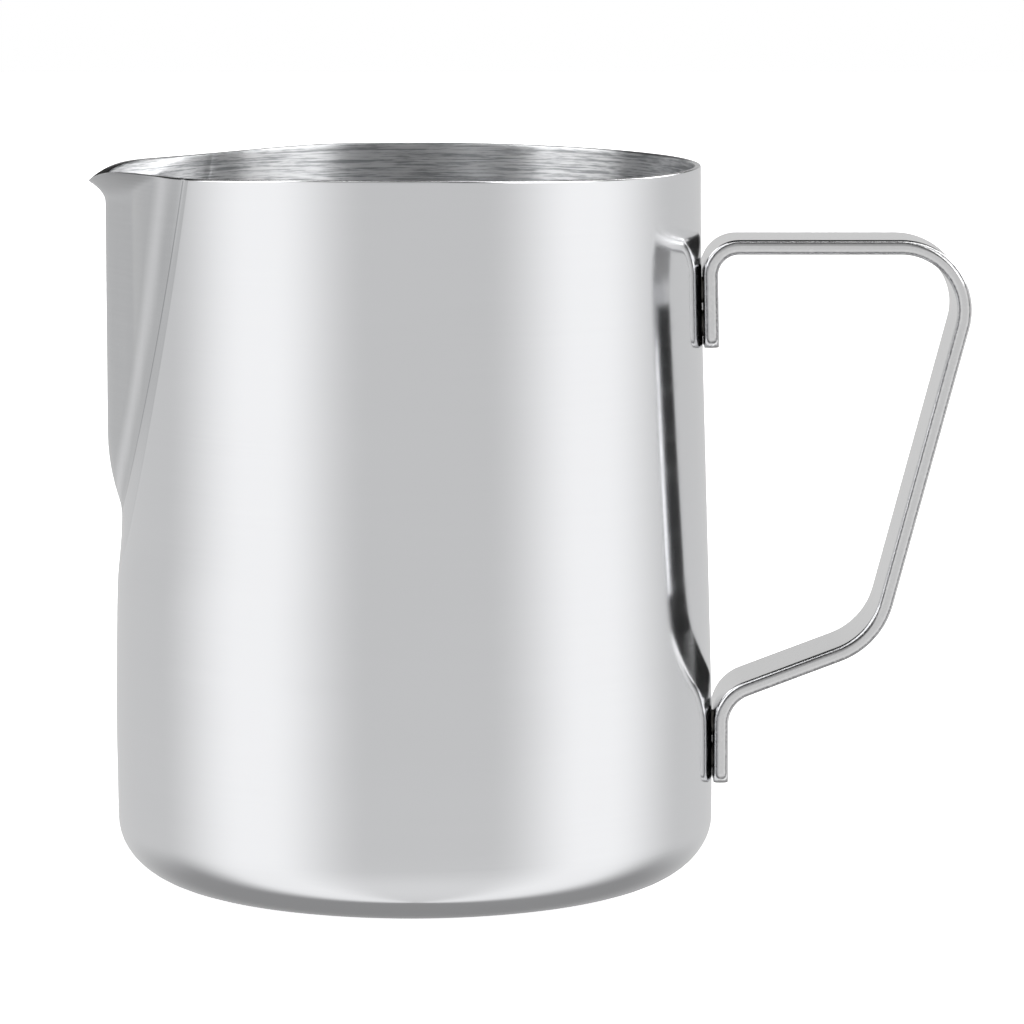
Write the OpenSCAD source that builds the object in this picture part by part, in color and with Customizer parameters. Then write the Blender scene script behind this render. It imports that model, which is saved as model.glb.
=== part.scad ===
// Milk frothing pitcher: a drawn and pressed steel cup with a welded strap handle.
// Millimetres. The base rests on z = 0 and the cup's axis is the Z axis.
// The spout points along -X and the handle along +X.

/* [Cup] */
// Height of the rim above the table
body_h = 90; // [75:1:110]
// Outside diameter of the belly, the straight part near the base
belly_d = 75; // [66:0.5:90]
// Outside diameter of the cup at the rim
rim_d = 71; // [64:0.5:78]
// Height at which the straight belly turns into the taper
belly_h = 20; // [17:0.5:26]
// Radius of the soft bend between the belly and the taper, if the belly has room for it
belly_bend_r = 300; // [100:10:400]
// How far the rounded corner between base and wall reaches in under the cup
corner_reach = 9.2; // [5:0.2:11]
// How far up the wall that corner reaches
corner_h = 7.5; // [4:0.5:9]
// Thickness of the steel sheet
wall = 0.8; // [0.5:0.1:1.2]

/* [Spout] */
// Half of the rim's arc that the pressed spout takes up, in degrees
spout_half_arc = 40.5; // [32:0.5:48]
// How far below the rim the pressed spout ends
spout_depth = 44; // [34:1:52]
// How far the spout's nose stands out beyond the rim
nose_reach = 3.1; // [2:0.1:6]
// Roundness of the nose's ridge in plan: the smaller, the sharper
nose_ease = 1.1; // [0.6:0.1:2]
// Height of the nose's straight part above the spout's lower end
toe_h = 10; // [6:0.5:14]
// Radius of the nose's lower end, where it runs back into the wall
toe_r = 26; // [20:1:40]
// How far the spout's flank stands off the wall at its edge
flank_lift = 0.25; // [0.1:0.05:0.6]
// Height of the flared lip, measured down from the rim
flare_h = 5.1; // [4:0.1:7]
// How far the lip's tip reaches beyond the nose
flare_reach = 2.1; // [1:0.1:4]
// How far the lip's tip droops below the rim
lip_droop = 2.4; // [1:0.05:3.2]
// How much of that the rim has already lost beside the spout
rim_dip = 0.6; // [0:0.05:0.9]

/* [Handle] */
// Width of the strap
strap_w = 13.5; // [10:0.5:18]
// Thickness of the strap
strap_t = 1.85; // [1.4:0.05:2.6]
// Radius of the corners at the feet's ends
foot_corner_r = 1.5; // [0.8:0.1:4]
// How far the strap's level top lies below the rim
strap_drop = 9.4; // [6:0.1:14]
// Reach of the upper bend's corner beyond the belly
upper_reach = 33.2; // [26:0.2:42]
// Reach of the lower bend's corner beyond the belly
lower_reach = 20.2; // [14:0.2:25]
// Height of the lower bend's corner above the table
lower_corner_h = 30.4; // [28:0.2:36]
// Height above the table at which the lower foot leaves the wall
lower_foot_h = 23.1; // [21:0.1:25]
// Length of the upper foot, from the strap's level top down
upper_foot_l = 12.6; // [11.5:0.1:15]
// Length of the lower foot, from its bend down
lower_foot_l = 10.9; // [10:0.1:12]
// Bend radii of the strap's middle line, from the upper foot to the lower one
upper_foot_bend_r = 3.5; // [2.5:0.1:4]
upper_bend_r = 7.9; // [5:0.1:12]
lower_bend_r = 9.6; // [5:0.1:12]
lower_foot_bend_r = 4.7; // [3:0.1:6]
// Gap between the feet and the wall, which the weld nuggets bridge
foot_gap = 0.02; // [0:0.01:0.1]

/* [Welds] */
// Diameter of a weld nugget
weld_d = 3.2; // [2:0.1:3.6]
// Distance between the two nuggets of a foot
weld_pitch = 4.2; // [3.8:0.1:4.4]
// Depth of a nugget in the cup's wall
weld_in_wall = 0.45; // [0.2:0.05:0.45]
// Depth of a nugget in the strap
weld_in_strap = 0.9; // [0.4:0.1:1.3]
// Distance from a foot's end to its nearer nugget's middle
weld_end_gap = 2.6; // [2.2:0.1:2.8]

/* [Hidden] */

$fn = 96;
steel = [0.80, 0.81, 0.82];
bright_steel = [0.88, 0.88, 0.89];
weld_grey = [0.58, 0.58, 0.57];
over = 1; // length by which a cut runs past what it cuts

belly_r = belly_d / 2;
rim_r = rim_d / 2;
taper = atan((belly_r - rim_r) / (body_h - belly_h));
min_straight = 0.5; // shortest straight wall between the bottom corner and the belly's bend
bend_r = min(belly_bend_r, (belly_h - corner_h - min_straight) / tan(taper / 2));
bend_start_h = belly_h - bend_r * tan(taper / 2);
arc_steps = 10; // points along each round stretch of the cup's profile

// ---- Cup: a profile turned round Z, with inset as the distance in from the outside ----

// The points of an arc round centre c, from angle a to angle b. It is an ellipse's where its
// reach and rise differ.
function arc(c, reach, rise, a, b, steps) =
    [for (i = [0:steps]) let (t = a + (b - a) * i / steps) c + [reach * cos(t), rise * sin(t)]];

// Outside radius of the tapering wall at height z
function wall_r(z) = rim_r + (body_h - z) * tan(taper);

// Half profile of the cup up to height top
function cup_profile(inset, top) = concat(
    [[0, top], [0, inset]],
    arc([belly_r - corner_reach, corner_h], corner_reach - inset, corner_h - inset,
        -90, 0, arc_steps),
    arc([belly_r - bend_r, bend_start_h], bend_r - inset, bend_r - inset,
        0, taper, arc_steps),
    [[wall_r(top) - inset / cos(taper), top]]
);

// ---- Spout: level sections stacked into one form ----

spout_foot_z = body_h - spout_depth;
flare_z = body_h - flare_h;
nose_x = rim_r + nose_reach;
tip_x = nose_x + flare_reach;
flare_rate = flare_reach / pow(flare_h - lip_droop, 2);
edge_power = 0.43;    // how the spout's edge narrows towards its lower end
toe_levels = 12;
nose_levels = 8;
flare_levels = 8;
nose_steps = 9;
nose_crowding = 1.6;  // gathers each section's points towards the ridge
first_level = 0.5;    // the lowest section's height above the spout's lower end
root_depth = 0.4;     // how far each section runs back into the wall at its ends
border_arc = 1.5;     // the spout's pressed border at the rim, in degrees
border_depth = 7.5;   // how much lower the border runs than the flank

// Angle of the flank's edge, and of the border's outer edge, from the spout's middle
function flank_angle(z) = spout_half_arc * pow((z - spout_foot_z) / spout_depth, edge_power);
function border_angle(z) = (spout_half_arc + border_arc)
    * pow((z - spout_foot_z + border_depth) / (spout_depth + border_depth), edge_power);

// How far the nose stands from the axis at height z
function nose_at(z) =
    let (toe_z = spout_foot_z + toe_h, below = max(toe_z - z, 0), above = max(z - flare_z, 0))
    nose_x - (toe_r - sqrt(toe_r * toe_r - below * below)) + flare_rate * above * above;

// A point on the wall, turned by an angle from the spout's middle
function on_wall(z, angle, lift) = (wall_r(z) + lift) * [-cos(angle), sin(angle)];

function mirrored(points) = [for (i = [len(points) - 1:-1:0]) [points[i].x, -points[i].y]];

// One level section: from inside the wall along the flank, which bends over a hyperbola into
// the ridge of the nose, and back
function spout_section(z, inset) =
    let (
        edge = on_wall(z, flank_angle(z), flank_lift - inset),
        root = on_wall(z, border_angle(z), -inset - root_depth),
        nose = nose_at(z) - inset,
        ease = nose_ease,
        run = nose + ease + edge.x,
        rise = (run * run - ease * ease) / (edge.y * edge.y),
        half = [root, edge, for (i = [1:nose_steps - 1])
            let (y = edge.y * pow(1 - i / nose_steps, nose_crowding))
            [sqrt(ease * ease + rise * y * y) - nose - ease, y]]
    )
    concat(half, [[-nose, 0]], mirrored(half));

function spread(a, b, steps) = [for (i = [0:steps - 1]) a + (b - a) * i / steps];

spout_levels = concat(
    spread(spout_foot_z + first_level, spout_foot_z + toe_h, toe_levels),
    spread(spout_foot_z + toe_h, flare_z, nose_levels),
    spread(flare_z, body_h + over, flare_levels),
    [body_h + over]
);

module spout_form(inset) {
    sections = [for (z = spout_levels) spout_section(z, inset)];
    n = len(sections[0]);
    m = len(sections);
    points = [for (i = [0:m - 1]) for (p = sections[i]) [p.x, p.y, spout_levels[i]]];
    sides = [for (i = [0:m - 2]) for (j = [0:n - 1])
        let (k = (j + 1) % n, a = i * n, b = a + n)
        each [[a + j, b + j, b + k], [a + j, b + k, a + k]]];
    bottom = [for (j = [0:n - 1]) j];
    top = [for (j = [n - 1:-1:0]) (m - 1) * n + j];
    polyhedron(points, concat(sides, [bottom, top]));
}

module cup_form(inset, top) {
    rotate_extrude() polygon(cup_profile(inset, top));
    spout_form(inset);
}

// Everything above the rim, which dips beside the spout and droops at the lip
dip_start_x = rim_r * 0.28;
dip_end_x = rim_r * 0.82;
lip_start_x = rim_r * 0.96;
lip_power = 3.2;
lip_steps = 28;
function rim_drop(x) =
    let (
        d = min(max((x - dip_start_x) / (dip_end_x - dip_start_x), 0), 1),
        l = max((x - lip_start_x) / (tip_x - lip_start_x), 0)
    )
    rim_dip * d * d * (3 - 2 * d) + (lip_droop - rim_dip) * pow(l, lip_power);

module above_rim() {
    far = 2 * belly_r;
    lip = [for (i = [0:lip_steps]) let (x = dip_start_x + (tip_x - dip_start_x) * i / lip_steps)
        [-x, body_h - rim_drop(x)]];
    rotate([90, 0, 0]) linear_extrude(height = 2 * far, center = true)
        polygon(concat([[far, body_h + 4 * over], [far, body_h]], lip,
            [[-far, body_h - lip_droop], [-far, body_h + 4 * over]]));
}

// ---- Handle: one flat strap along a bent middle line in the XZ plane ----

half_t = strap_t / 2;
top_z = body_h - strap_drop - half_t;
upper_end_z = top_z - upper_foot_l;
lower_end_z = lower_foot_h - lower_foot_l;
upper_foot_off = (half_t + foot_gap) / cos(taper);
lower_foot_x = belly_r + foot_gap + half_t;
bend_steps = 12; // points along each bend

// Corners of the middle line before bending, and the bend at each inner corner
strap_path = [
    [wall_r(upper_end_z) + upper_foot_off, upper_end_z],
    [wall_r(top_z) + upper_foot_off, top_z],
    [belly_r + upper_reach, top_z],
    [belly_r + lower_reach, lower_corner_h],
    [lower_foot_x, lower_foot_h],
    [lower_foot_x, lower_end_z]
];
strap_bends = [0, upper_foot_bend_r, upper_bend_r, lower_bend_r, lower_foot_bend_r, 0];
last = len(strap_path) - 1;

function heading(i) = let (d = strap_path[i + 1] - strap_path[i]) atan2(d.y, d.x);
function wrapped(a) = a > 180 ? a - 360 : a < -180 ? a + 360 : a;
function left_of(a) = [-sin(a), cos(a)];

// The bend at inner corner i, at distance off to the left of the middle line
function strap_bend(i, off) =
    let (
        a = heading(i - 1),
        turn = wrapped(heading(i) - a),
        side = sign(turn),
        r = strap_bends[i],
        centre = strap_path[i] - r * tan(abs(turn) / 2) * [cos(a), sin(a)] + side * r * left_of(a),
        face_r = r - side * off
    )
    arc(centre, face_r, face_r, a - side * 90, a - side * 90 + turn, bend_steps);

// One face of the strap, from the upper foot's end to the lower foot's end
function strap_face(off) = concat(
    [strap_path[0] + off * left_of(heading(0))],
    [for (i = [1:last - 1]) each strap_bend(i, off)],
    [strap_path[last] + off * left_of(heading(last - 1))]
);

function backwards(points) = [for (i = [len(points) - 1:-1:0]) points[i]];

// Places its children at a point of the middle line, with Z along the heading
module on_path(p, a) {
    translate([p.x, 0, p.y]) rotate([0, 90 - a, 0]) children();
}

// What is cut off at a foot's end to round its two corners; the strap lies towards +Z
module end_corners() {
    for (s = [0, 1]) mirror([0, s, 0]) translate([0, strap_w / 2 - foot_corner_r, foot_corner_r])
        difference() {
            translate([-strap_t, 0, -foot_corner_r - over])
                cube([2 * strap_t, foot_corner_r + over, foot_corner_r + over]);
            rotate([0, 90, 0]) cylinder(r = foot_corner_r, h = 3 * strap_t, center = true);
        }
}

// ---- Welds: two nuggets in each foot, square to the wall ----

upper_weld_z = upper_end_z + weld_end_gap;
lower_weld_z = lower_end_z + weld_end_gap;

module nugget_pair(foot_x, z, lean) {
    for (i = [0, 1])
        translate([foot_x, 0, z]) rotate([0, -lean, 0]) translate([-weld_in_wall, 0, i * weld_pitch])
            rotate([0, 90, 0]) cylinder(d = weld_d, h = weld_in_wall + foot_gap + weld_in_strap);
}

// ---- The pieces ----

module upper_foot_welds() {
    color(weld_grey) nugget_pair(wall_r(upper_weld_z), upper_weld_z, taper);
}

module lower_foot_welds() {
    color(weld_grey) nugget_pair(belly_r, lower_weld_z, 0);
}

module pitcher_body() {
    color(steel) difference() {
        cup_form(0, body_h);
        cup_form(wall, body_h + over);
        above_rim();
        upper_foot_welds();
        lower_foot_welds();
    }
}

module handle() {
    color(bright_steel) difference() {
        rotate([90, 0, 0]) linear_extrude(height = strap_w, center = true)
            polygon(concat(strap_face(half_t), backwards(strap_face(-half_t))));
        on_path(strap_path[0], heading(0)) end_corners();
        on_path(strap_path[last], heading(last - 1)) mirror([0, 0, 1]) end_corners();
        upper_foot_welds();
        lower_foot_welds();
    }
}

pitcher_body();
handle();
upper_foot_welds();
lower_foot_welds();
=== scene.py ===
import math

import bpy
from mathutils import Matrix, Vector


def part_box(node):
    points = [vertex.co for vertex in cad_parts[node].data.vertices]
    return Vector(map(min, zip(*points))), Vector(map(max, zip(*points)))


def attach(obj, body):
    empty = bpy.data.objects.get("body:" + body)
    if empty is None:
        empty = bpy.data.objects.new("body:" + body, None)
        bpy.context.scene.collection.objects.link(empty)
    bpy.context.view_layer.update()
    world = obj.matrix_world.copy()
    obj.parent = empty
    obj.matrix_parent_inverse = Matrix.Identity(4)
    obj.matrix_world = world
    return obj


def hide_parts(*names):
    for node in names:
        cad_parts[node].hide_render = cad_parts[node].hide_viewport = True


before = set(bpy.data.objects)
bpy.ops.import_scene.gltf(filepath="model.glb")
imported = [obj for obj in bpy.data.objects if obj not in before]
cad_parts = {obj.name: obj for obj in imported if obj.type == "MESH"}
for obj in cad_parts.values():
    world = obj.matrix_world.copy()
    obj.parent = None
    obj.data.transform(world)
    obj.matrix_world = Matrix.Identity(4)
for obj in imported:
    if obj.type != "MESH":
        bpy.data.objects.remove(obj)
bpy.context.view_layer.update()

# A milk frothing pitcher: a drawn steel cup with a pressed spout, and a bent strap handle that
# is spot-welded to it. Metres. The cup's axis is Z, the spout points to -X, the handle to +X.

MM = 0.001
cup_low, cup_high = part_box("pitcher_body")

# ---- Sizes of the cup ----

RIM_H = cup_high.z                  # height of the rim
BELLY_R = cup_high.y                # outside radius of the straight belly
LIP_TIP = -cup_low.x                # how far the lip's tip stands from the axis
RIM_R = BELLY_R - 2.0 * MM          # outside radius of the wall at the rim
BELLY_H = 20 * MM                   # where the belly turns into the taper
BELLY_BEND = 300 * MM               # radius of that soft bend
CORNER_REACH = 9.2 * MM             # how far the bottom corner reaches in under the cup
CORNER_H = 7.5 * MM                 # and up the wall
WALL = 0.8 * MM                     # sheet thickness
RIM_ROUND = 0.24 * MM               # rounding of the cut rim
WAIST = 0.05 * MM                   # the upper taper is drawn in by this
RIM_FLARE = 0.33 * MM               # the top quarter of the wall eases outwards by this
FLARE_FROM = 66 * MM                # height where it starts to
HANDLE_DIP = 0.42 * MM              # the rim lies a little lower on the handle's side
HANDLE_TILT = 0.45                  # and less so towards +Y
HEEL = 0.36 * MM                    # the pressing swells the wall below the spout
TAPER = math.atan((BELLY_R - RIM_R) / (RIM_H - BELLY_H))

# ---- Sizes of the spout ----

FLANK_ARC = math.radians(40.5)      # half of the rim's arc between the flanks' edges
BORDER_ARC = math.radians(42.0)     # the same, out to the edge of the pressed border
FLANK_FOOT = RIM_H - 44 * MM        # where the flanks end
BORDER_FOOT = RIM_H - 51.5 * MM     # where the pressed border ends
NARROWING = 0.43                    # how both edges close in towards their feet
NOSE_X = RIM_R + 3.0 * MM           # the nose's straight ridge
TOE_H = 10 * MM                     # height of the nose's rounded lower end
TOE_R = 26 * MM                     # and its radius
FOOT_EASE = 0.03                    # softness of the edges' lower ends, in parts of their height
FLARE_H = 5.1 * MM                  # height of the flared lip, below the rim
RIM_DIP = 0.6 * MM                  # the rim's drop beside the spout
LIP_START = 0.96 * RIM_R            # distance from the axis where the lip starts to droop
LIP_DROOP = 2.4 * MM                # the tip's drop below the rim
DROOP_POWER = 3.2                   # how late the droop comes
BORDER_SINK = 0.12 * MM             # the border's inner edge lies below the wall
NOSE_EASE = 1.1 * MM                # roundness of the ridge, in plan
LIP_EASE = 0.5 * MM                 # and of the lip
BLEND = 0.12 * MM                   # softness where the flank leaves the wall

# ---- The mesh's layout ----

COLUMNS = 256                       # round the cup
FLANK_COLUMNS = 30                  # on each flank
BORDER_COLUMNS = 4                  # on each side's pressed border
RIDGE_CROWDING = 1.2                # the flank's columns stand closer near the ridge
MIDDLE_R = 1.5 * MM                 # the disc in the base's middle
BASE_RINGS = [r * MM for r in (6, 12, 18, 24, 27)]
CORNER_STEPS = 14
LOW_STEP = 2 * MM                   # between the rings above the corner
LOW_RINGS = 11
HIGH_STEP = 1.25 * MM               # between those higher up
TOP_BAND = 7 * MM                   # below the rim, the rings stand closest
TOP_RINGS = 14
FOLLOW_H = 18 * MM                  # below the rim, the rings start to follow its height
RUN_ON = 3.0                        # steps an inside column may run on past its last but one


def smooth(low, high, x):
    """0 below low, 1 above high, and an even S between them."""
    t = min(max((x - low) / (high - low), 0.0), 1.0)
    return t * t * (3 - 2 * t)


def soft_max(a, b, ease):
    """The larger of two values, with a soft change between them."""
    return (a + b + math.hypot(a - b, ease)) / 2


# ---- Working in edit mode ----


def start_piece(name, add, **how):
    """Adds a primitive with nothing else selected, and opens it in edit mode."""
    bpy.ops.object.select_all(action="DESELECT")
    add(**how)
    piece = bpy.context.object
    piece.name = piece.data.name = name
    bpy.ops.object.mode_set(mode="EDIT")
    return piece


def end_edit():
    bpy.ops.object.mode_set(mode="OBJECT")


def select_only(piece):
    bpy.ops.object.select_all(action="DESELECT")
    bpy.context.view_layer.objects.active = piece
    piece.select_set(True)


def select_edges(piece, wanted):
    """Opens a piece in edit mode with the edges selected that wanted(edge) picks."""
    end_edit()
    mesh = piece.data
    for part in (mesh.vertices, mesh.edges, mesh.polygons):
        part.foreach_set("select", [False] * len(part))
    for edge in mesh.edges:
        edge.select = wanted(edge)
    bpy.ops.object.mode_set(mode="EDIT")
    bpy.ops.mesh.select_mode(type="EDGE")


def apply_modifier(piece, kind, **settings):
    select_only(piece)
    modifier = piece.modifiers.new(kind.title(), kind)
    for key, value in settings.items():
        setattr(modifier, key, value)
    bpy.ops.object.modifier_apply(modifier=modifier.name)


def finish_piece(piece, node, slot, *materials):
    """Smooth shading, materials, and the piece's place in the assembly."""
    select_only(piece)
    bpy.ops.object.transform_apply(location=True, rotation=True, scale=True)
    bpy.ops.object.shade_smooth_by_angle(angle=math.radians(40))
    for index, material in enumerate(materials):
        if index < len(piece.data.materials):
            piece.data.materials[index] = material
        else:
            piece.data.materials.append(material)
    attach(piece, "root")
    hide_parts(node)


# ---- The cup's shape ----


def wall_radius(z):
    """Outside radius of the wall at height z, above the bottom corner."""
    bend_start = BELLY_H - BELLY_BEND * math.tan(TAPER / 2)
    bend_end = bend_start + BELLY_BEND * math.sin(TAPER)
    if z < bend_start:
        return BELLY_R
    if z < bend_end:
        return BELLY_R - BELLY_BEND + math.sqrt(BELLY_BEND ** 2 - (z - bend_start) ** 2)
    waist = WAIST * smooth(30 * MM, 60 * MM, z)
    flare = RIM_FLARE * (max(z - FLARE_FROM, 0.0) / (RIM_H - FLARE_FROM)) ** 2
    return RIM_R + (RIM_H - z) * math.tan(TAPER) - waist + flare


def heel(z, angle):
    """The wall's swelling below the spout, at an angle from the spout's middle."""
    rise = smooth(2 * MM, 36 * MM, z) * (1 - smooth(37 * MM, 44 * MM, z))
    return HEEL * rise * (1 - smooth(math.radians(20), math.radians(75), angle))


def rim_drop(x, y):
    """How far the rim lies below its highest point, above a point of the plan."""
    dip = RIM_DIP * smooth(0.28 * RIM_R, 0.82 * RIM_R, -x)
    lip = max(-x - LIP_START, 0.0) / (LIP_TIP - LIP_START)
    handle_side = HANDLE_DIP * smooth(2 * MM, 34 * MM, x) * (1 - HANDLE_TILT * y / RIM_R)
    return dip + (LIP_DROOP - RIM_DIP) * lip ** DROOP_POWER + handle_side


def edge_angle(z, arc, foot):
    """Angle of one of the spout's edges from its middle; below the foot it fades to nothing."""
    t = (z - foot) / (RIM_H - foot)
    eased = (t + math.hypot(t, FOOT_EASE)) / 2
    return arc * eased ** NARROWING


def nose_reach(z):
    """How far the nose's ridge stands from the axis at height z, and 0 well below its toe."""
    below = max(FLANK_FOOT + TOE_H - z, 0.0)
    above = max(z - (RIM_H - FLARE_H), 0.0)
    rate = (LIP_TIP - NOSE_X) / (FLARE_H - LIP_DROOP) ** 2
    if below >= TOE_R:
        return 0.0
    return NOSE_X - TOE_R + math.sqrt(TOE_R ** 2 - below ** 2) + rate * above ** 2


def flank_radius(z, angle):
    """Outside radius between the flanks' edges: the two flanks meet in a rounded ridge."""
    arc = edge_angle(z, FLANK_ARC, FLANK_FOOT)
    sink = BORDER_SINK * smooth(BORDER_FOOT, FLANK_FOOT + 4 * MM, z)
    wall = wall_radius(z) - sink
    ease = NOSE_EASE + (LIP_EASE - NOSE_EASE) * smooth(RIM_H - FLARE_H, RIM_H - LIP_DROOP, z)
    apex = nose_reach(z) + ease
    run = apex - wall * math.cos(arc)
    if run <= ease:
        return wall + BLEND / 2 * smooth(FLANK_FOOT - 2 * MM, FLANK_FOOT, z)
    slope = math.sqrt(run ** 2 - ease ** 2) / (wall * math.sin(arc)) * math.tan(angle)
    left = 1 - slope ** 2
    x = (apex - math.sqrt(apex ** 2 - left * (apex ** 2 - ease ** 2))) / left
    return soft_max(wall, x / math.cos(angle), BLEND)


def column_angle(column, z):
    """Angle of a column of the mesh, counted from the spout's middle, at height z."""
    last = COLUMNS // 2
    even = math.pi * column / last
    flank = edge_angle(z, FLANK_ARC, FLANK_FOOT)
    border = edge_angle(z, BORDER_ARC, BORDER_FOOT)
    if column <= FLANK_COLUMNS:
        pressed = flank * (column / FLANK_COLUMNS) ** RIDGE_CROWDING
    elif column <= FLANK_COLUMNS + BORDER_COLUMNS:
        pressed = flank + (border - flank) * (column - FLANK_COLUMNS) / BORDER_COLUMNS
    else:
        rest = last - FLANK_COLUMNS - BORDER_COLUMNS
        pressed = border + (math.pi - border) * (1 - (last - column) / rest)
    return even + (pressed - even) * smooth(22 * MM, 44 * MM, z)


def cup_point(column, z):
    """Distance from the axis and angle from the spout's middle of one point of the outside."""
    angle = column_angle(column, z)
    past = column - FLANK_COLUMNS
    wall = wall_radius(z) + heel(z, angle)
    if past <= 0:
        return max(flank_radius(z, angle), wall), angle
    if past > BORDER_COLUMNS:
        return wall, angle
    edge = flank_radius(z, edge_angle(z, FLANK_ARC, FLANK_FOOT)) - wall_radius(z)
    return wall + edge * (1 - past / BORDER_COLUMNS), angle


def rim_height(column, side):
    """Height at which a column meets the rim, on the side of +Y (1) or -Y (-1)."""
    low, high = RIM_H - 2 * LIP_DROOP, RIM_H
    for _ in range(24):
        z = (low + high) / 2
        radius, angle = cup_point(column, z)
        if z > RIM_H - rim_drop(-radius * math.cos(angle), side * radius * math.sin(angle)):
            high = z
        else:
            low = z
    return high


def press_spout(piece):
    """Moves the rings' points from the plain cup to the cup with its spout.

    It returns each column's points above the settled wall, from low to high.
    """
    settle = RIM_H - FOLLOW_H
    columns = {}
    tops = {side: [rim_height(column, side) for column in range(COLUMNS // 2 + 1)]
            for side in (-1, 1)}
    for vertex in piece.data.vertices:
        x, y, z = vertex.co
        if z < CORNER_H - 0.01 * MM or math.hypot(x, y) < BELLY_R / 2:
            continue
        column = round(math.atan2(abs(y), -x) / math.pi * (COLUMNS // 2))
        side = 1 if y > 0 else -1
        if z > settle:
            columns.setdefault((side, column), []).append((z, vertex.index))
            z = settle + (z - settle) * (tops[side][column] - settle) / (RIM_H - settle)
        radius, angle = cup_point(column, z)
        vertex.co = (-radius * math.cos(angle), side * radius * math.sin(angle), z)
    return [[index for _, index in sorted(rows)] for rows in columns.values()]


def level_rim(piece, columns, outside):
    """Ends each column of the inside at the height where the outside ends, as one level cut."""
    vertices = piece.data.vertices
    for column in columns:
        points = [vertices[i + outside].co.copy() for i in column]
        top = vertices[column[-1]].co.z
        last = len(points) - 1
        end = next((k for k in range(1, last) if points[k].z > top), last)
        a, b = points[end - 1], points[end]
        length = end - 1 + min((top - a.z) / max(b.z - a.z, 1e-9), RUN_ON)
        for k, index in enumerate(column):
            place = length * k / last
            low = min(int(place), last - 1)
            vertices[index + outside].co = points[low].lerp(points[low + 1], place - low)


def cup_rings():
    """Radius and height of each ring of the plain cup, from the base's middle to the rim."""
    rings = [(r, 0.0) for r in BASE_RINGS]
    for i in range(CORNER_STEPS + 1):
        a = math.pi / 2 * i / CORNER_STEPS
        rings.append((BELLY_R - CORNER_REACH * (1 - math.sin(a)),
                      CORNER_H * (1 - math.cos(a))))
    heights = [CORNER_H + i * LOW_STEP for i in range(1, LOW_RINGS + 1)]
    while heights[-1] < RIM_H - TOP_BAND:
        heights.append(heights[-1] + HIGH_STEP)
    low = heights[-1]
    heights += [low + (RIM_H - low) * i / TOP_RINGS for i in range(1, TOP_RINGS + 1)]
    return rings + [(wall_radius(z), z) for z in heights]


def make_cup():
    """The cup: rings drawn upwards, pressed to shape, and given the sheet's thickness."""
    piece = start_piece("pitcher_body_steel", bpy.ops.mesh.primitive_circle_add,
                        vertices=COLUMNS, radius=MIDDLE_R, fill_type="TRIFAN")
    select_edges(piece, lambda edge: all(
        piece.data.vertices[i].co.length > MIDDLE_R / 2 for i in edge.vertices))
    radius, height = MIDDLE_R, 0.0
    for ring_r, ring_z in cup_rings():
        bpy.ops.mesh.extrude_region_move(
            TRANSFORM_OT_translate={"value": (0, 0, ring_z - height)})
        grow = ring_r / radius
        bpy.ops.transform.resize(value=(grow, grow, 1), center_override=(0, 0, 0))
        radius, height = ring_r, ring_z
    bpy.ops.mesh.select_all(action="SELECT")
    bpy.ops.mesh.normals_make_consistent(inside=False)
    end_edit()
    if piece.data.polygons[0].normal.z > 0:
        bpy.ops.object.mode_set(mode="EDIT")
        bpy.ops.mesh.flip_normals()
        end_edit()
    columns = press_spout(piece)
    outside = len(piece.data.vertices)
    for _ in ("outside", "inside", "cut rim"):
        piece.data.materials.append(None)
    apply_modifier(piece, "SOLIDIFY", thickness=WALL, offset=-1, use_even_offset=True,
                   use_quality_normals=True, material_offset=1, material_offset_rim=2)
    level_rim(piece, columns, outside)
    round_rim(piece)
    return piece


def round_rim(piece):
    """Rounds the two edges of the cut rim: there, faces of two materials meet."""
    kinds = {}
    for face in piece.data.polygons:
        for key in face.edge_keys:
            kinds.setdefault(key, set()).add(face.material_index)
    select_edges(piece, lambda edge: len(kinds[edge.key]) > 1)
    bpy.ops.mesh.bevel(offset=RIM_ROUND, segments=3, affect="EDGES")
    end_edit()


# ---- The handle ----

STRAP_W = 13.5 * MM
STRAP_T = 1.85 * MM
STRAP_EDGE = 0.8 * MM               # rounding of the strap's long edges
STRAP_EDGE_STEPS = 8
END_EDGE = 0.18 * MM                # rounding of its two cut ends
FOOT_CORNER = 1.5 * MM              # rounding of the feet's corners, seen from the handle's side
FOOT_CORNER_STEPS = 7
FOOT_GAP = 0.02 * MM                # between a foot and the wall
TOP_Z = RIM_H - 9.4 * MM - STRAP_T / 2
UPPER_END_Z = TOP_Z - 12.6 * MM
LOWER_FOOT_Z = 23.1 * MM
LOWER_END_Z = LOWER_FOOT_Z - 10.9 * MM
LOWER_CORNER_Z = 30.4 * MM
UPPER_REACH = 33.2 * MM             # from the belly's outside to the outer corners
LOWER_REACH = 20.2 * MM
BENDS = [3.5 * MM, 7.9 * MM, 9.6 * MM, 4.7 * MM]     # of the middle line, from the top
BEND_STEPS = 14                     # in a radian


def strap_path():
    """Corners of the strap's middle line, from the upper foot's end to the lower one's."""
    off = (STRAP_T / 2 + FOOT_GAP) / math.cos(TAPER)
    foot_x = BELLY_R + FOOT_GAP + STRAP_T / 2
    return [Vector((wall_radius(UPPER_END_Z) + off, 0, UPPER_END_Z)),
            Vector((wall_radius(TOP_Z) + off, 0, TOP_Z)),
            Vector((BELLY_R + UPPER_REACH, 0, TOP_Z)),
            Vector((BELLY_R + LOWER_REACH, 0, LOWER_CORNER_Z)),
            Vector((foot_x, 0, LOWER_FOOT_Z)),
            Vector((foot_x, 0, LOWER_END_Z))]


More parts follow.
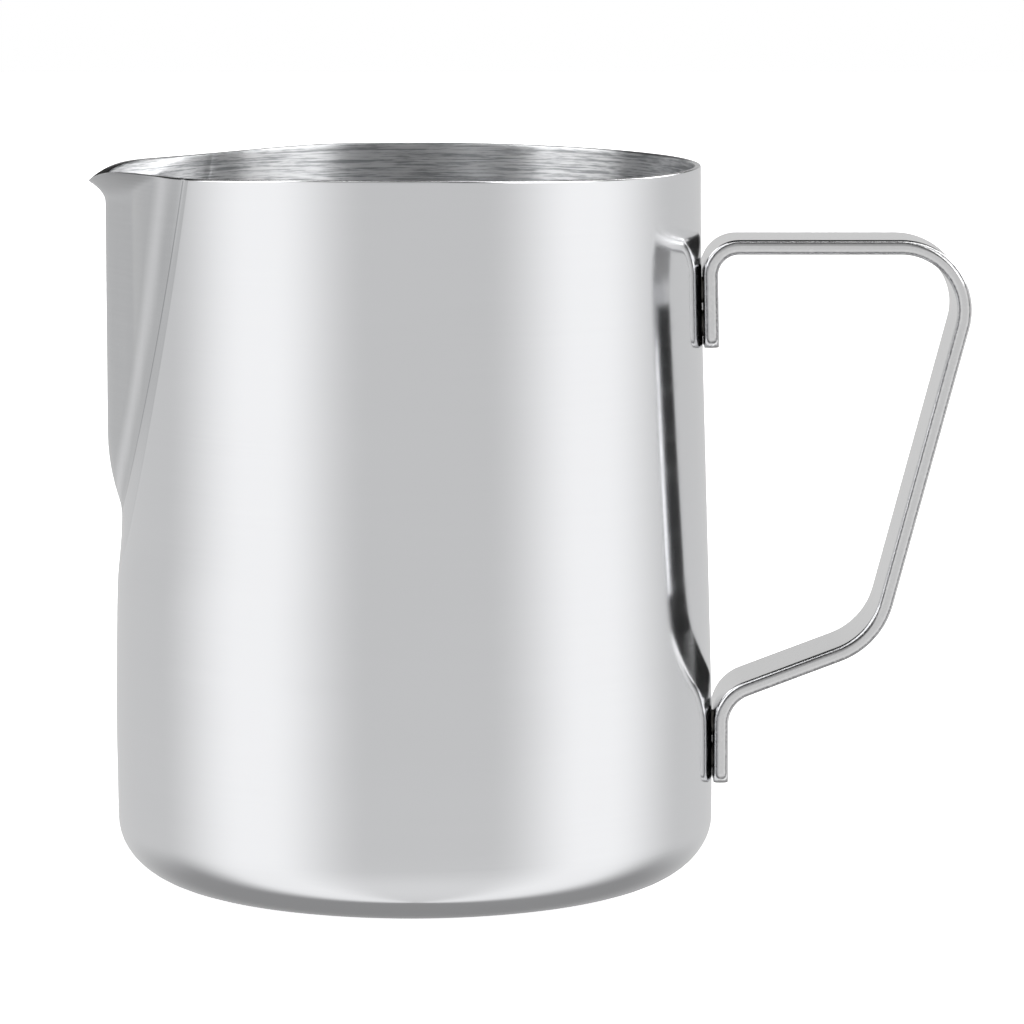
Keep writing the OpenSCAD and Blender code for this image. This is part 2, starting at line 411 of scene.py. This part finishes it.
def corner_steps(outwards):
    """Pairs of (advance, width) that round a foot's corners, towards or from its end."""
    steps = FOOT_CORNER_STEPS
    places = [FOOT_CORNER * (1 - math.cos(math.pi / 2 * i / steps)) for i in range(steps + 1)]
    rows = [(s, STRAP_W - 2 * FOOT_CORNER
             + 2 * math.sqrt(FOOT_CORNER ** 2 - (FOOT_CORNER - s) ** 2)) for s in places]
    if outwards:
        rows = [(FOOT_CORNER - s, w) for s, w in reversed(rows)]
    return rows


def extrude_by(move, middle, widen=1.0):
    """Extrudes the selected ring by a move, then changes its width about its new middle."""
    bpy.ops.mesh.extrude_region_move(TRANSFORM_OT_translate={"value": move})
    if widen != 1.0:
        bpy.ops.transform.resize(value=(1, widen, 1), center_override=middle)


def make_handle():
    """The strap: its section drawn along the straights and spun round the bends."""
    path = strap_path()
    way = [(b - a).normalized() for a, b in zip(path, path[1:])]
    cuts, turns = [0.0], [0.0]
    for i, bend in enumerate(BENDS, 1):
        turn = math.atan2(way[i - 1].cross(way[i]).y, way[i - 1].dot(way[i]))
        turns.append(turn)
        cuts.append(bend * math.tan(abs(turn) / 2))
    cuts.append(0.0)

    rows = corner_steps(False)
    width = rows[0][1]
    piece = start_piece("handle_strap", bpy.ops.mesh.primitive_plane_add, size=1)
    bpy.ops.transform.resize(value=(STRAP_T, STRAP_W, 1))
    bpy.ops.mesh.bevel(offset=STRAP_EDGE, segments=STRAP_EDGE_STEPS, affect="VERTICES")
    bpy.ops.mesh.delete(type="ONLY_FACE")
    bpy.ops.mesh.select_all(action="SELECT")
    lean = math.atan2(way[0].x, way[0].z)
    bpy.ops.transform.resize(value=(1, width / STRAP_W, 1), center_override=(0, 0, 0))
    bpy.ops.transform.rotate(value=-lean, orient_axis="Y", center_override=(0, 0, 0))
    bpy.ops.transform.translate(value=path[0])

    here = path[0].copy()
    gone = 0.0
    for place, new_width in rows[1:]:
        move = way[0] * (place - gone)
        here += move
        extrude_by(move, here, new_width / width)
        gone, width = place, new_width
    for i, direction in enumerate(way):
        last = i == len(way) - 1
        end = path[i + 1] - direction * (FOOT_CORNER if last else cuts[i + 1])
        extrude_by(end - here, end)
        here = end.copy()
        if last:
            break
        turn = turns[i + 1]
        side = direction.cross(Vector((0, 1, 0))) * -math.copysign(1.0, turn)
        centre = here + side * BENDS[i]
        bpy.ops.mesh.spin(steps=max(8, round(abs(turn) * BEND_STEPS)), angle=-turn,
                          center=centre, axis=(0, 1, 0))
        here = path[i + 1] + way[i + 1] * cuts[i + 1]
    gone = 0.0
    for place, new_width in corner_steps(True)[1:]:
        move = way[-1] * (place - gone)
        here += move
        extrude_by(move, here, new_width / width)
        gone, width = place, new_width
    close_ends()
    return piece


def close_ends():
    """Fills the strap's two open ends and breaks their sharp edges."""
    bpy.ops.mesh.select_all(action="DESELECT")
    bpy.ops.mesh.select_non_manifold(extend=False)
    bpy.ops.mesh.edge_face_add()
    bpy.ops.mesh.bevel(offset=END_EDGE, segments=3, affect="EDGES")
    bpy.ops.mesh.select_all(action="SELECT")
    bpy.ops.mesh.remove_doubles(threshold=1e-7)
    bpy.ops.mesh.normals_make_consistent(inside=False)
    end_edit()


# ---- The weld nuggets ----

WELD_R = 1.6 * MM
WELD_PITCH = 4.2 * MM               # from nugget to nugget
WELD_END = 2.6 * MM                 # from the foot's end to the lower nugget
WELD_DEPTH = 1.3 * MM
WELD_EDGE = 0.45 * MM               # rounding of a nugget's two faces


def make_nuggets(name, place, lean):
    """Two lens-shaped nuggets across the joint between a foot and the wall."""
    piece = start_piece(name, bpy.ops.mesh.primitive_cylinder_add, vertices=40,
                        radius=WELD_R, depth=WELD_DEPTH)
    bpy.ops.mesh.bevel(offset=WELD_EDGE, segments=4, affect="EDGES")
    bpy.ops.mesh.select_all(action="SELECT")
    bpy.ops.transform.rotate(value=math.pi / 2, orient_axis="Y", center_override=(0, 0, 0))
    bpy.ops.mesh.duplicate_move(TRANSFORM_OT_translate={"value": (0, 0, WELD_PITCH)})
    end_edit()
    piece.rotation_euler = (0, -lean, 0)
    piece.location = place
    return piece


# ---- Shader maths ----


class Wire:
    """The output of a shader node, so that shader maths reads as a formula."""

    def __init__(self, shader, socket):
        self.shader = shader
        self.socket = socket

    def math(self, operation, *values):
        return self.shader.add("Math", {"operation": operation}, dict(enumerate(values)))

    def __add__(self, other):
        return self.math("ADD", self, other)

    def __radd__(self, other):
        return self.math("ADD", other, self)

    def __sub__(self, other):
        return self.math("SUBTRACT", self, other)

    def __rsub__(self, other):
        return self.math("SUBTRACT", other, self)

    def __mul__(self, other):
        return self.math("MULTIPLY", self, other)

    def __rmul__(self, other):
        return self.math("MULTIPLY", other, self)

    def __truediv__(self, other):
        return self.math("DIVIDE", self, other)

    def __pow__(self, other):
        return self.math("POWER", self, other)

    def between(self, low, high):
        """0 below low, 1 above high, and an even S between them."""
        return self.shader.add("MapRange", {"interpolation_type": "SMOOTHSTEP"},
                               {"Value": self, "From Min": low, "From Max": high})


class Shader:
    """The node tree of a material or of the surroundings."""

    def __init__(self, owner):
        owner.use_nodes = True
        self.tree = owner.node_tree
        self.tree.nodes.clear()

    def add(self, kind, settings=None, inputs=None, output=0):
        """Adds a node, sets it up, joins its inputs, and returns one of its outputs."""
        node = self.tree.nodes.new("ShaderNode" + kind)
        for key, value in (settings or {}).items():
            setattr(node, key, value)
        for key, value in (inputs or {}).items():
            if isinstance(value, Wire):
                self.tree.links.new(value.socket, node.inputs[key])
            else:
                node.inputs[key].default_value = value
        return Wire(self, node.outputs[output]) if node.outputs else None

    def split(self, vector):
        """The three parts of a vector."""
        node = self.add("SeparateXYZ", None, {0: vector}).socket.node
        return [Wire(self, out) for out in node.outputs]

    def stretched_noise(self, place, scale, detail=2.0, roughness=0.5, distortion=0.0):
        """Noise whose grain is stretched by a different scale along each axis."""
        spot = self.add("Mapping", None, {"Vector": place, "Scale": scale})
        return self.add("TexNoise", None, {"Vector": spot, "Scale": 1.0, "Detail": detail,
                                           "Roughness": roughness, "Distortion": distortion})

    def mix_colour(self, factor, a, b):
        return self.add("Mix", {"data_type": "RGBA"}, {"Factor": factor, "A": a, "B": b}, 2)


def new_material(name):
    material = bpy.data.materials.new(name)
    return material, Shader(material)


def close_material(shader, colour, roughness, height, bump_strength, bump_distance, **fixed):
    """A metal surface with a bump, whose other sockets are constants."""
    bump = shader.add("Bump", None, {"Strength": bump_strength, "Distance": bump_distance,
                                     "Height": height})
    sockets = {"Base Color": colour, "Roughness": roughness, "Metallic": 1.0, "Normal": bump}
    sockets.update(fixed)
    surface = shader.add("BsdfPrincipled", None, sockets)
    shader.add("OutputMaterial", None, {"Surface": surface})


def spout_marks(shader, place):
    """Distances in millimetres from the spout's two pressed edges, positive towards its nose.

    The flank's edge comes first and the border's second; both follow the shape of the mesh.
    """
    x, y, z = shader.split(place)
    side = y.math("ABSOLUTE", y)
    turn = side.math("ARCTAN2", side, 0 - x)
    marks = []
    for arc, foot in ((FLANK_ARC, FLANK_FOOT), (BORDER_ARC, BORDER_FOOT)):
        above = (z - foot) / (RIM_H - foot)
        edge = above.math("MAXIMUM", above, 0.0) ** NARROWING * arc
        marks.append((edge - turn) * (BELLY_R / MM))
    return marks, y, z


TIP_R = 1.25 * MM                   # flat middle of the mark that a welding tip leaves


def weld_marks(shader, place):
    """1 on the flat round marks that the welding tips leave on the feet and inside the cup."""
    x, y, z = shader.split(place)
    marks = 0
    for end in (UPPER_END_Z, LOWER_END_Z):
        for height in (end + WELD_END, end + WELD_END + WELD_PITCH):
            away = (y * y + (z - height) * (z - height)) ** 0.5
            marks = marks + 1 - away.between(TIP_R, WELD_R)
    near_feet = x.between(30 * MM, 31 * MM) * (1 - x.between(40 * MM, 41 * MM))
    return marks * near_feet


def band(value, middle, half):
    """A soft bump: 1 at the middle, 0 from half a width away."""
    away = value.math("ABSOLUTE", value - middle)
    return 1 - away.between(0.0, half)


def polished_outside():
    """The outside: polished, with faint lathe lines and, under the base, faint rings.

    The pressed spout is rougher, and its colour holds painted reflections and painted shade.
    """
    material, shader = new_material("polished_outside")
    place = shader.add("TexCoord", None, None, "Object")
    grain = shader.stretched_noise(place, (25, 25, 9000), 2.0, 0.6)
    wiping = shader.stretched_noise(place, (60, 60, 260), 3.0, 0.55, 0.6)
    cloud = shader.stretched_noise(place, (28, 28, 28), 2.0, 0.5)
    drag = shader.stretched_noise(place, (60, 60, 3600), 2.0, 0.55)
    smear = shader.stretched_noise(place, (260, 260, 40), 2.0, 0.5)

    (flank_in, border_in), y, z = spout_marks(shader, place)
    flank = flank_in.between(-0.06, 0.06)
    border = border_in.between(-0.05, 0.05) * (1 - flank)
    alive = z.between(FLANK_FOOT - 4 * MM, FLANK_FOOT + 1 * MM)
    upper = z.between(FLANK_FOOT + 4 * MM, FLANK_FOOT + 20 * MM)
    # Painted light on the flanks: a darker painted reflection, a painted highlight band (glow)
    # and painted shade by the ridge, over random tone.
    ridge = band(y, 0.0, 1.5 * MM)
    glow = band(flank_in + smear * 1.6, 5.4, 3.2)
    flank_tone_and_painted_light = 0.70 + glow * 0.24 + smear * 0.06 + drag * 0.05 - ridge * 0.1
    # Painted shade: the pressed border is darker in colour, most of all in its upper part.
    border_painted_shade = 0.93 - upper * 0.12
    # Painted shade: thin dark lines along both pressed edges of the spout.
    painted_crease_shade = band(flank_in, 0.0, 0.2) * 0.3 * alive + band(border_in, 0.0, 0.16) * 0.1
    # The spout's painted light, which darkens the metal's colour below.
    spout_painted_light = 1 - flank * alive * (1 - flank_tone_and_painted_light) - border * (1 - border_painted_shade)
    spout_painted_light = spout_painted_light - painted_crease_shade * z.between(BORDER_FOOT + 2 * MM, BORDER_FOOT + 8 * MM)

    tone = grain * 0.35 + cloud * 0.45 + drag * 0.2
    metal = shader.mix_colour(tone, (0.795, 0.80, 0.815, 1), (0.855, 0.86, 0.875, 1))
    shade = shader.mix_colour(spout_painted_light, (0.0, 0.012, 0.014, 1), (1, 1, 1, 1))
    colour = shader.add("Mix", {"data_type": "RGBA", "blend_type": "MULTIPLY"},
                        {"Factor": 1.0, "A": metal, "B": shade}, 2)
    reach = shader.add("VectorMath", {"operation": "LENGTH"}, {0: place}, 1)
    rings = shader.add("TexNoise", {"noise_dimensions": "1D"},
                       {"W": reach * 2200, "Scale": 1.0, "Detail": 3.0, "Roughness": 0.7})
    under = 1 - z.between(0.1 * MM, 1.5 * MM)
    pressed = (flank + border) * alive
    roughness = 0.085 + grain * 0.045 + wiping.between(0.45, 0.75) * 0.03
    roughness = roughness + pressed * (0.06 + drag * 0.05) + under * (0.10 + cloud * 0.14)
    height = grain * 0.4 + wiping * 0.6 + pressed * drag * 0.5 + under * rings * 1.2
    close_material(shader, colour, roughness, height, 0.06, 0.02 * MM)
    return material


def brushed_inside():
    """The cup's inside: satin, brushed in rings, with the welding tips' marks."""
    material, shader = new_material("brushed_inside")
    place = shader.add("TexCoord", None, None, "Object")
    fine = shader.stretched_noise(place, (60, 60, 5200), 3.0, 0.7)
    broad = shader.stretched_noise(place, (130, 130, 3000), 3.0, 0.65, 0.2)
    flecks = shader.stretched_noise(place, (500, 500, 4200), 2.0, 0.6)
    cloud = shader.stretched_noise(place, (35, 35, 60), 2.0, 0.5)
    tone = (fine * 0.4 + broad * 0.4 + flecks * 0.2).between(0.41, 0.56)
    colour = shader.mix_colour(tone, (0.40, 0.41, 0.425, 1), (0.86, 0.865, 0.875, 1))
    dimple = weld_marks(shader, place)
    roughness = 0.27 + broad * 0.08 + cloud * 0.05 - dimple * 0.06
    height = fine * 0.4 + broad * 0.4 + flecks * 0.2 - dimple * 2
    close_material(shader, colour, roughness, height,
                   0.3, 0.03 * MM, **{"Anisotropic": 1.0, "Anisotropic Rotation": 0.25})
    return material


def cut_rim():
    """The rim's cut edge: buffed after cutting, with short marks across it."""
    material, shader = new_material("cut_rim")
    place = shader.add("TexCoord", None, None, "Object")
    marks = shader.stretched_noise(place, (2500, 2500, 900), 2.0, 0.6)
    colour = shader.mix_colour(marks, (0.66, 0.67, 0.68, 1), (0.84, 0.84, 0.845, 1))
    close_material(shader, colour, 0.16 + marks * 0.12, marks, 0.2, 0.01 * MM)
    return material


EDGE_FROM, EDGE_TO = 5.2 * MM, 6.1 * MM    # from the middle, where the tumbled edges begin
PAINTED_LINE_Y, PAINTED_LINE_HALF = 6.58 * MM, 0.15 * MM   # place and half width of the thin painted dark reflection


def polished_strap():
    """The strap: polished along its length, with tumbled, slightly orange-peeled edges.

    A thin painted dark reflection runs along each edge.
    """
    material, shader = new_material("polished_strap")
    place = shader.add("TexCoord", None, None, "Object")
    y = shader.split(place)[1]
    side = y.math("ABSOLUTE", y)
    edge = side.between(EDGE_FROM, EDGE_TO)
    painted_edge_reflection = band(side, PAINTED_LINE_Y, PAINTED_LINE_HALF)
    peel = shader.stretched_noise(place, (1500, 1500, 1500), 2.0, 0.5)
    lines = shader.stretched_noise(place, (60, 4200, 60), 2.0, 0.6)
    cloud = shader.stretched_noise(place, (90, 90, 90), 2.0, 0.5)
    speckle = shader.stretched_noise(place, (3200, 3200, 3200), 2.0, 0.6).between(0.3, 0.7)
    tone = lines * 0.4 + cloud * 0.6 - edge * (1 - speckle) * 1.6
    bright = shader.mix_colour(tone, (0.82, 0.82, 0.825, 1), (0.89, 0.89, 0.89, 1))
    # Painted reflection: the thin dark line along each edge, a little broken by the speckle.
    colour = shader.mix_colour(painted_edge_reflection * (0.95 - speckle * 0.35), bright, (0.05, 0.05, 0.055, 1))
    dimple = weld_marks(shader, place)
    roughness = 0.09 + lines * 0.04 + edge * 0.05 + peel * edge * 0.06 + dimple * 0.12
    height = lines * 0.25 + peel * (edge * 0.75 + 0.1) - dimple * 2
    close_material(shader, colour, roughness, height, 0.12, 0.02 * MM)
    return material


def weld_metal():
    """The nuggets: matt, heat-tinted metal."""
    material, shader = new_material("weld_metal")
    place = shader.add("TexCoord", None, None, "Object")
    grain = shader.stretched_noise(place, (1800, 1800, 1800), 3.0, 0.6)
    colour = shader.mix_colour(grain, (0.36, 0.34, 0.30, 1), (0.58, 0.57, 0.55, 1))
    close_material(shader, colour, 0.42 + grain * 0.2, grain, 0.4, 0.05 * MM)
    return material


# ---- The pieces ----

cup = make_cup()
finish_piece(cup, "pitcher_body", "cup_steel", polished_outside(), brushed_inside(), cut_rim())

strap = make_handle()
finish_piece(strap, "handle", "handle_steel", polished_strap())
# The flats are shaded flat right up to the rounded edges.
apply_modifier(strap, "WEIGHTED_NORMAL", weight=100, keep_sharp=True)

weld_finish = weld_metal()
upper_z = UPPER_END_Z + WELD_END
upper_welds = make_nuggets("upper_weld_nuggets", (wall_radius(upper_z), 0, upper_z), TAPER)
finish_piece(upper_welds, "upper_foot_welds", "weld_steel", weld_finish)
lower_z = LOWER_END_Z + WELD_END
lower_welds = make_nuggets("lower_weld_nuggets", (BELLY_R, 0, lower_z), 0)
finish_piece(lower_welds, "lower_foot_welds", "weld_steel", weld_finish)

# ---- The studio ----

TABLE_GLOW = 0.75                   # the table's own light, which keeps it white
FOOT_SHADE = 0.27                   # how bright the shade round the foot is in reflections
SHADE_FROM, SHADE_TO = 22 * MM, 40 * MM    # it fades out between these distances from the axis

# Levels of light round the pitcher. Headings are in degrees from the camera's side, positive
# towards the handle.
BOX_HEADING = 6                     # the lightboxes stand evenly to both sides of this
CEILING_HEADING = -8                # and their tops to both sides of this
GREY = 0.627                        # between the lightboxes
BOX_LIGHT = 0.43                    # added by them
TABLE_LIGHT = 0.95                  # the table, which the walls take on downwards
TABLE_SHARE = 0.45                  # by this share
FAR_TABLE_LIGHT = 0.3               # down and away from the camera
DARK = 0.02                         # the ceiling
BOX_TOP_LIGHT = 2.9                 # added by the lightboxes' tops
CAMERA_SIDE_LIGHT = 0.38            # added above the camera


def make_floor():
    """A white table. Reflections see only the shade that the pitcher's own foot casts on it."""
    bpy.ops.object.select_all(action="DESELECT")
    bpy.ops.mesh.primitive_plane_add(size=4)
    floor = bpy.context.object
    floor.name = "floor"
    material, shader = new_material("pale_floor")
    matt = shader.add("BsdfDiffuse", None, {"Color": (0.9, 0.9, 0.9, 1)})
    glow = shader.add("Emission", None, {"Color": (1, 1, 1, 1), "Strength": TABLE_GLOW})
    lit = shader.add("AddShader", None, {0: matt, 1: glow})
    place = shader.add("TexCoord", None, None, "Object")
    away = shader.add("VectorMath", {"operation": "LENGTH"}, {0: place}, 1)
    shade = shader.add("Emission", None, {"Color": (1, 1, 1, 1), "Strength": FOOT_SHADE})
    clear = shader.add("BsdfTransparent", None, {"Color": (1, 1, 1, 1)})
    under = shader.add("MixShader", None, {"Fac": away.between(SHADE_FROM, SHADE_TO),
                                           1: shade, 2: clear})
    mirrored = shader.add("LightPath", None, None, "Is Glossy Ray")
    both = shader.add("MixShader", None, {"Fac": mirrored, 1: lit, 2: under})
    shader.add("OutputMaterial", None, {"Surface": both})
    floor.data.materials.append(material)


def make_surroundings():
    """A white studio: a tall lightbox on each side, grey between them, and a dark ceiling.

    The lightboxes' tops reach over the ceiling, and a bright patch stands behind the handle.
    """
    world = bpy.data.worlds.new("studio")
    bpy.context.scene.world = world
    shader = Shader(world)
    x, y, z = shader.split(shader.add("TexCoord", None, None, "Generated"))
    heading = x.math("ARCTAN2", x, 0 - y) * (180 / math.pi)
    turn = x.math("ABSOLUTE", heading - BOX_HEADING)
    box = turn.between(22, 63) * (1 - turn.between(73, 119))
    level = GREY + box * BOX_LIGHT
    level = level + (TABLE_LIGHT - level) * (0 - z).between(0.02, 0.85) * TABLE_SHARE
    far_down = (0 - z).between(0.2, 0.7) * turn.between(85, 122)
    level = level + (FAR_TABLE_LIGHT - level) * far_down

    turn_up = x.math("ABSOLUTE", heading - CEILING_HEADING)
    box_up = turn_up.between(43, 50) * (1 - turn_up.between(86, 94))
    wider = z.between(0.25, 0.42) * (1 - z.between(0.52, 0.58)) * 20
    behind_handle = heading.between(106, 112) * (1 - (heading - wider).between(126, 134))
    camera_side = 1 - turn_up.between(18, 32)
    ceiling = DARK + (box_up + behind_handle) * BOX_TOP_LIGHT + camera_side * CAMERA_SIDE_LIGHT
    level = level + (ceiling - level) * z.between(0.19, 0.27)

    seen = shader.add("LightPath", None, None, "Is Camera Ray")
    level = level + (1 - level) * seen
    light = shader.add("Background", None, {"Color": (1, 1, 1, 1), "Strength": level})
    shader.add("OutputWorld", None, {"Surface": light})


CAMERA_PLACE = (12.23 * MM, -648.5 * MM, 133.6 * MM)
CAMERA_DIP = 7.709                  # degrees below level
SENSOR_W = 36                       # the camera's own millimetres
LENS = 182.9


def make_camera():
    data = bpy.data.cameras.new("camera")
    camera = bpy.data.objects.new("camera", data)
    bpy.context.scene.collection.objects.link(camera)
    camera.location = CAMERA_PLACE
    camera.rotation_euler = (math.radians(90 - CAMERA_DIP), 0, 0)
    data.sensor_width = SENSOR_W
    data.lens = LENS
    data.clip_start = 0.01
    data.clip_end = 20
    bpy.context.scene.camera = camera


make_floor()
make_surroundings()
make_camera()
bpy.context.scene.view_settings.view_transform = "Standard"
